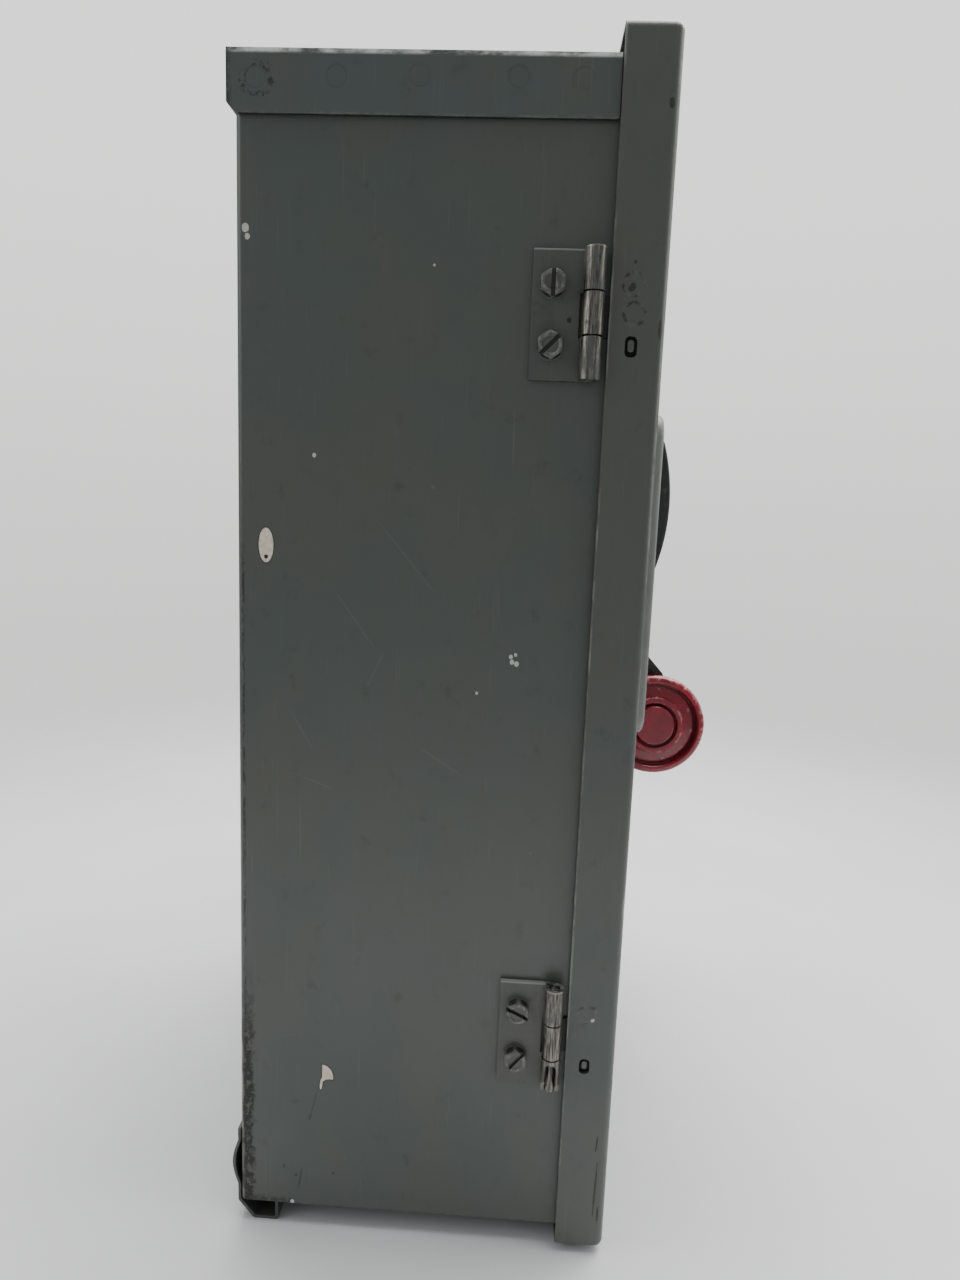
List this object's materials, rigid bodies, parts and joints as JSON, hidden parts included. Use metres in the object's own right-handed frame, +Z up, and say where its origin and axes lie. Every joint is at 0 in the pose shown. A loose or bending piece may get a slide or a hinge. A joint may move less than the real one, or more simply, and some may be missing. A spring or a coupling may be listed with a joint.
{
  "type": "rotary isolator switch",
  "caption": "Steel wall-box isolator switch: hinged deep-skirted door, front handle with a round grip turning a fused blade rotor inside.",
  "frame": {"origin": "centre of the bottom of the whole assembly's box, on the surface that it stands on", "axes": "+X to the right seen from the door side, +Y to the rear wall, +Z up"},
  "size_m": [0.2162, 0.1814, 0.4009],
  "materials": {
    "enclosure_paint": "satin grey enamel, scratched",
    "cap_paint": "satin grey enamel",
    "door_paint": "satin grey enamel, scuffed at the edges",
    "hinge_paint": "satin grey enamel, dirty",
    "worn_steel": "bare streaky worn steel",
    "zinc_steel": "zinc plated",
    "guard_black": "moulded, satin",
    "arm_black": "black enamel, worn edges",
    "grip_red": "aged red plastic, worn pale edges",
    "phenolic": "moulded phenolic",
    "copper": "bright copper",
    "fuse_body": "fibre tube with plain ends"
  },
  "bodies": {
    "enclosure": {"enclosure_wrapper": "enclosure_paint", "top_cap": "cap_paint", "bottom_end": "enclosure_paint", "left_mounting_foot": "enclosure_paint", "right_mounting_foot": "enclosure_paint", "upper_hinge_box_leaf": "hinge_paint", "upper_hinge_pin": "worn_steel", "upper_hinge_screw_high": "hinge_paint", "upper_hinge_screw_low": "hinge_paint", "lower_hinge_box_leaf": "hinge_paint", "lower_hinge_pin": "worn_steel", "lower_hinge_screw_high": "hinge_paint", "lower_hinge_screw_low": "hinge_paint", "switch_base": "phenolic", "left_rotor_bearing": "zinc_steel", "right_rotor_bearing": "zinc_steel", "line_terminal_1": "copper", "load_terminal_1": "copper", "fuse_outlet_1": "copper", "fuse_1": "fuse_body", "line_terminal_2": "copper", "load_terminal_2": "copper", "fuse_outlet_2": "copper", "fuse_2": "fuse_body", "line_terminal_3": "copper", "load_terminal_3": "copper", "fuse_outlet_3": "copper", "fuse_3": "fuse_body", "base_screw_1": "zinc_steel", "base_screw_2": "zinc_steel", "base_screw_3": "zinc_steel", "base_screw_4": "zinc_steel", "ground_bar": "zinc_steel", "ground_screw_1": "zinc_steel", "ground_screw_2": "zinc_steel", "latch_pivot_stud": "zinc_steel"},
    "door": {"door_shell": "door_paint", "upper_hinge_door_leaf": "worn_steel", "lower_hinge_door_leaf": "worn_steel", "handle_guard": "guard_black", "left_bearing_bracket": "zinc_steel", "right_bearing_bracket": "zinc_steel", "door_latch_stud": "zinc_steel"},
    "handle": {"operating_arm": "arm_black", "grip_end_knob": "grip_red", "grip_barrel": "grip_red", "grip_spindle": "zinc_steel", "handle_shaft": "zinc_steel", "drive_lever": "zinc_steel"},
    "rotor": {"rotor_shaft": "phenolic", "drive_fork": "zinc_steel", "rotor_blade_1": "copper", "rotor_blade_2": "copper", "rotor_blade_3": "copper"},
    "latch": {"latch_hook": "zinc_steel"}
  },
  "joints": [
    {"name": "door_swing", "type": "hinge", "parent": "enclosure", "child": "door", "pos_m": [-0.10483, -0.02216, 0.2012], "axis": [0, 0, -1], "range_deg": [0, 120]},
    {"name": "handle_turn", "type": "hinge", "parent": "door", "child": "handle", "pos_m": [0.02017, -0.01265, 0.23995], "axis": [-1, 0, 0], "range_deg": [0, 75]},
    {"name": "rotor_turn", "type": "hinge", "parent": "enclosure", "child": "rotor", "pos_m": [-0.03882, 0.03334, 0.259], "axis": [1, 0, 0], "range_deg": [0, 45]},
    {"name": "latch_turn", "type": "hinge", "parent": "enclosure", "child": "latch", "pos_m": [0.10458, 0.00085, 0.2522], "axis": [-1, 0, 0], "range_deg": [0, 90]}
  ],
  "couplings": [
    {"joint": "rotor_turn", "follows": "handle_turn", "ratio": 0.6}
  ]
}
